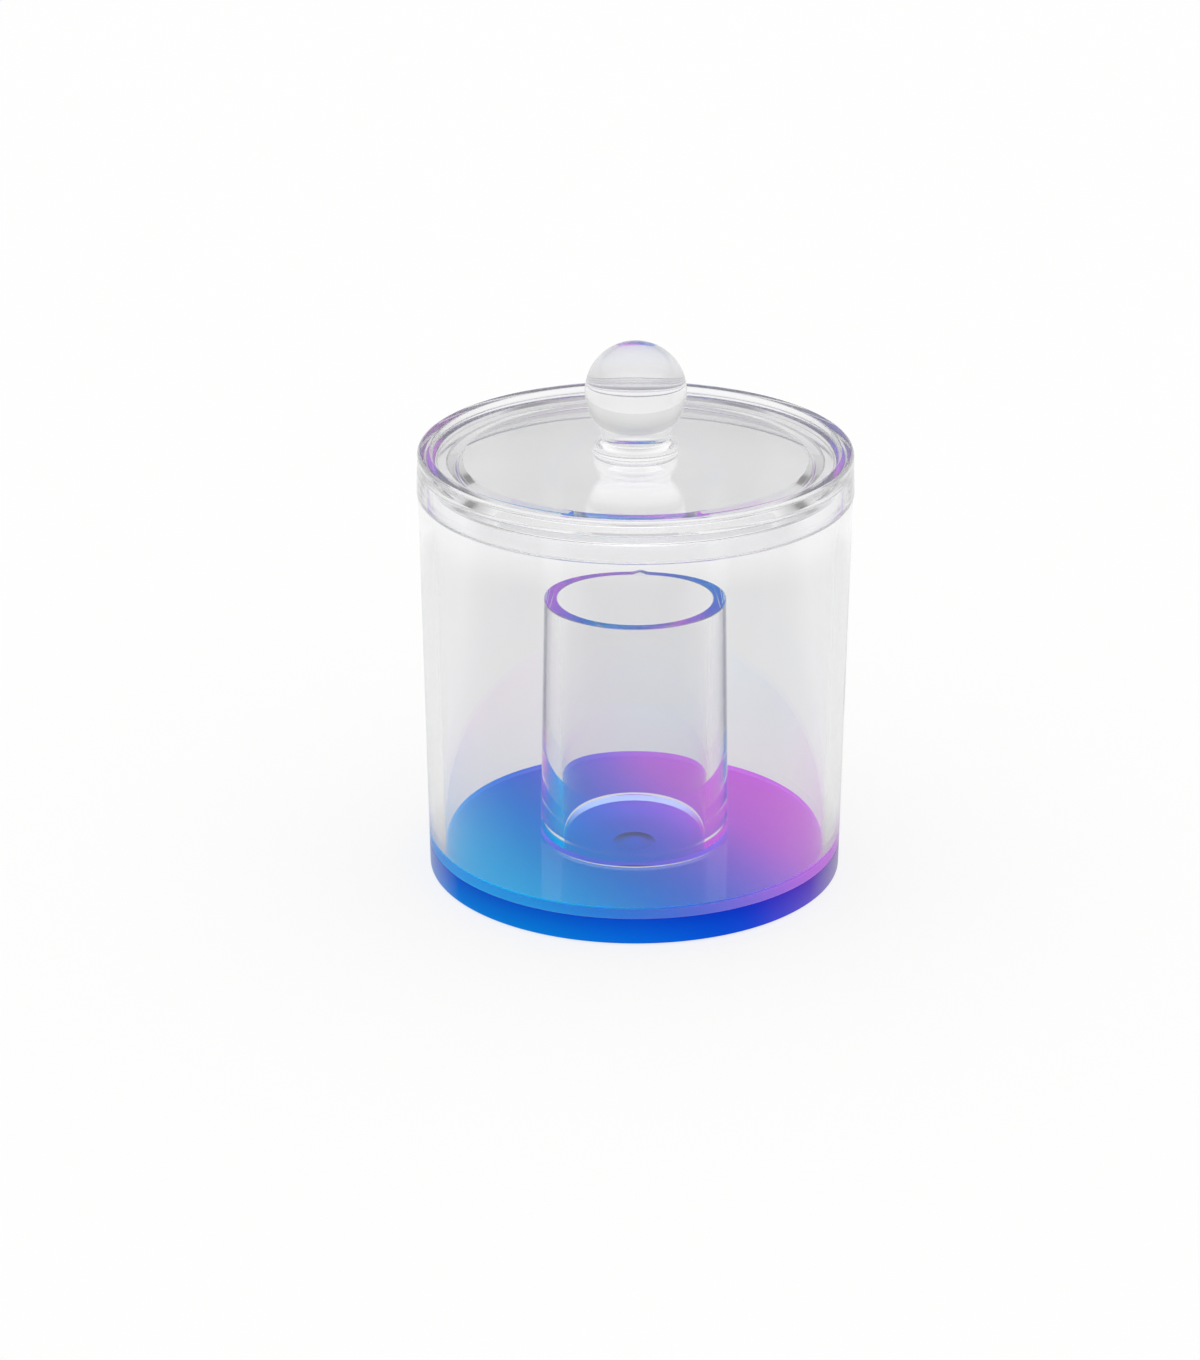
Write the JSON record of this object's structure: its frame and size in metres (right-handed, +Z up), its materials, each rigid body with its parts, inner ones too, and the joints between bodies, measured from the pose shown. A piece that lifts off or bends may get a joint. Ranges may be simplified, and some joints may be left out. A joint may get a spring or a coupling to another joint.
{
  "type": "cotton pad holder",
  "caption": "Round clear holder for cotton pads and swabs: drafted canister with an upright inner tube, colour-shifting base plate and a lift-off lid with a ball knob.",
  "frame": {"origin": "centre of the underside, on the surface the holder stands on", "axes": "+Z up along the axis of the canister; +X to the right and -Y towards the viewer of the picture"},
  "size_m": [0.0988, 0.0988, 0.1255],
  "materials": {
    "iridescent_base": "gloss, colour running from cyan through blue and violet to magenta",
    "clear_body": "clear, polished",
    "clear_tube": "clear, polished",
    "clear_lid": "clear, polished",
    "clear_knob": "clear, polished"
  },
  "bodies": {
    "canister_body": {"base_plate": "iridescent_base", "canister": "clear_body", "swab_tube": "clear_tube"},
    "lid_body": {"lid": "clear_lid", "knob": "clear_knob"}
  },
  "joints": [
    {"name": "lid_lift", "type": "slide", "parent": "canister_body", "child": "lid_body", "axis": [0, 0, 1], "range_m": [0, 0.1]}
  ]
}
